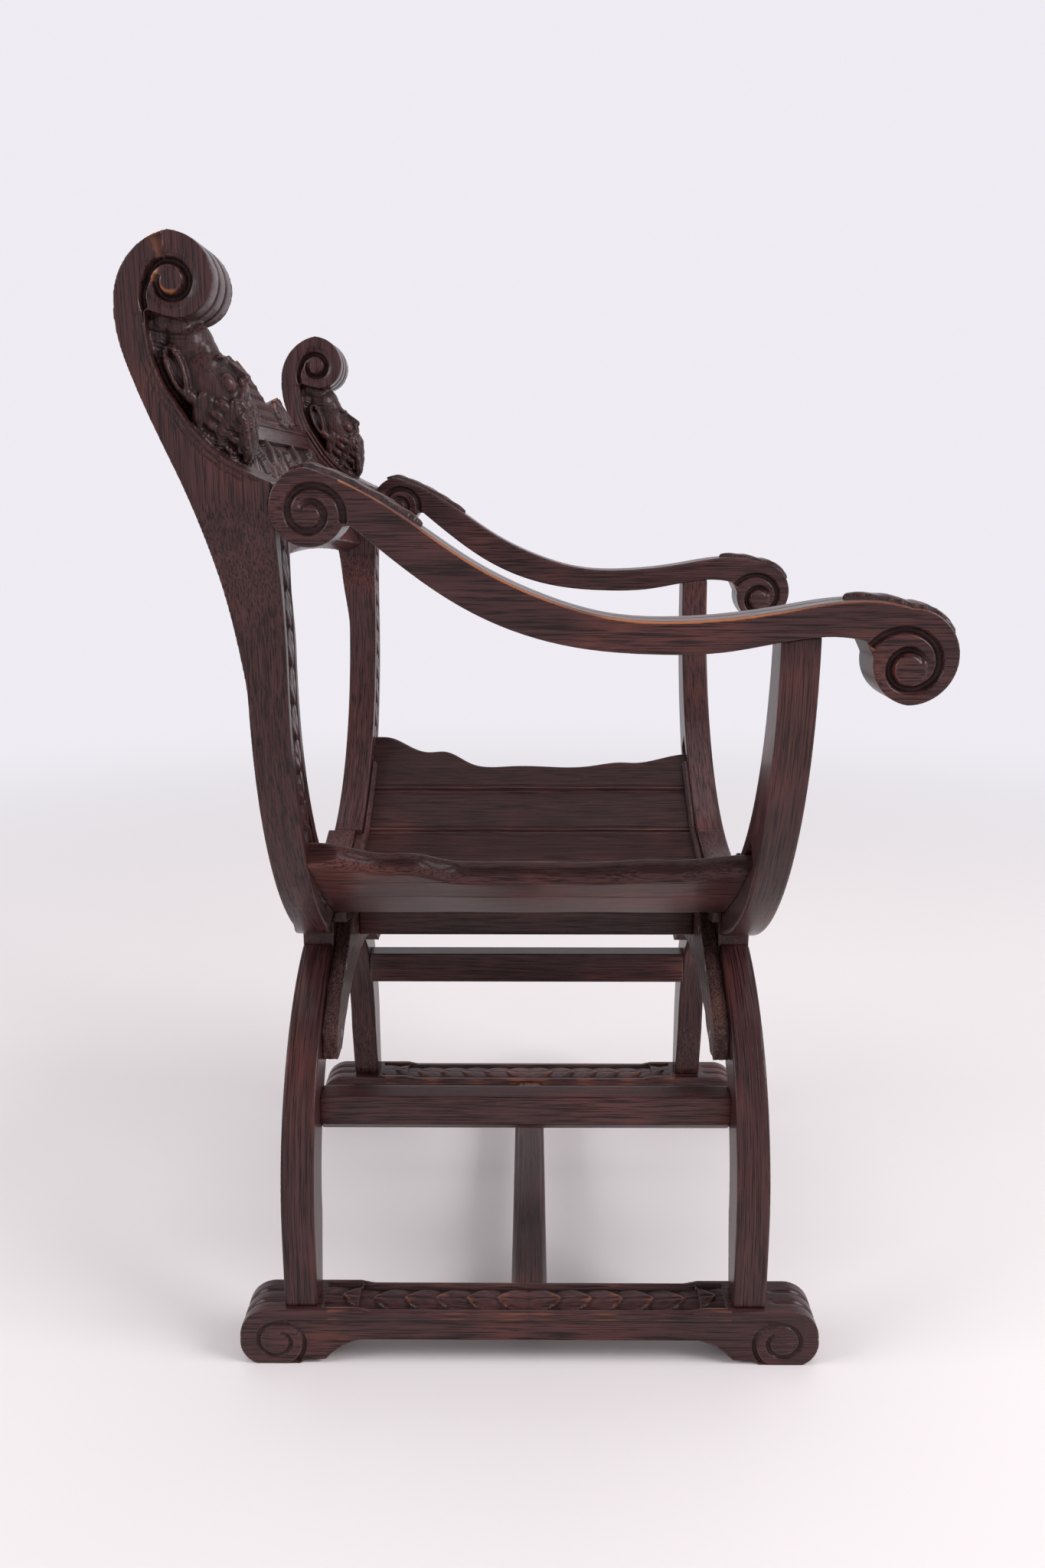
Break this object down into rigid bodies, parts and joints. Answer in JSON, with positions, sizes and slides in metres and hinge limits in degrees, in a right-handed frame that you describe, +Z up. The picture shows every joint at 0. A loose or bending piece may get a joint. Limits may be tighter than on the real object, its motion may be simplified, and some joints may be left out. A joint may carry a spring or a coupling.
{
  "type": "savonarola chair",
  "caption": "Carved dark oak X-frame armchair with curved front and back frames, a dished slatted seat, scrolled arms and a raked back rest.",
  "frame": {"origin": "on the floor under the middle of the bounding box", "axes": "+Z up, -Y towards the front of the chair, -X towards the sitter's right hand"},
  "size_m": [0.676, 0.634, 0.986],
  "materials": {
    "dark_oak": "near-black stained oak under a gloss varnish, worn orange-brown on its edges",
    "seat_oak": "dark stained oak boards with a worn brown-grey varnish",
    "rough_oak": "roughly chiselled, thinly stained oak with no varnish",
    "screw_steel": "old dull steel"
  },
  "bodies": {
    "root": {"arm_dowels": "dark_oak", "arm_left": "dark_oak", "arm_right": "dark_oak", "back_arch_brace": "rough_oak", "back_bottom_rail": "dark_oak", "back_crossing_block": "dark_oak", "back_leg_left": "dark_oak", "back_leg_right": "dark_oak", "back_panel": "dark_oak", "back_post_left": "dark_oak", "back_post_right": "dark_oak", "brace_screws": "screw_steel", "crest_rail": "dark_oak", "cross_stretcher": "dark_oak", "foot_left": "dark_oak", "foot_right": "dark_oak", "front_arch_brace": "rough_oak", "front_crossing_block": "dark_oak", "front_leg_left": "dark_oak", "front_leg_right": "dark_oak", "front_post_left": "dark_oak", "front_post_right": "dark_oak", "panel_moulding_bottom": "dark_oak", "panel_moulding_left": "dark_oak", "panel_moulding_right": "dark_oak", "panel_moulding_top": "dark_oak", "seat_centre_board": "seat_oak", "seat_cleat_back_left": "seat_oak", "seat_cleat_back_right": "seat_oak", "seat_cleat_front_left": "seat_oak", "seat_cleat_front_right": "seat_oak", "seat_lower_board_left": "seat_oak", "seat_lower_board_right": "seat_oak", "seat_side_board_left": "seat_oak", "seat_side_board_right": "seat_oak", "seat_strip_back": "seat_oak", "seat_strip_front": "seat_oak", "seat_upper_board_left": "seat_oak", "seat_upper_board_right": "seat_oak", "side_stretcher_left": "dark_oak", "side_stretcher_right": "dark_oak", "under_seat_rail": "dark_oak"}
  },
  "joints": []
}
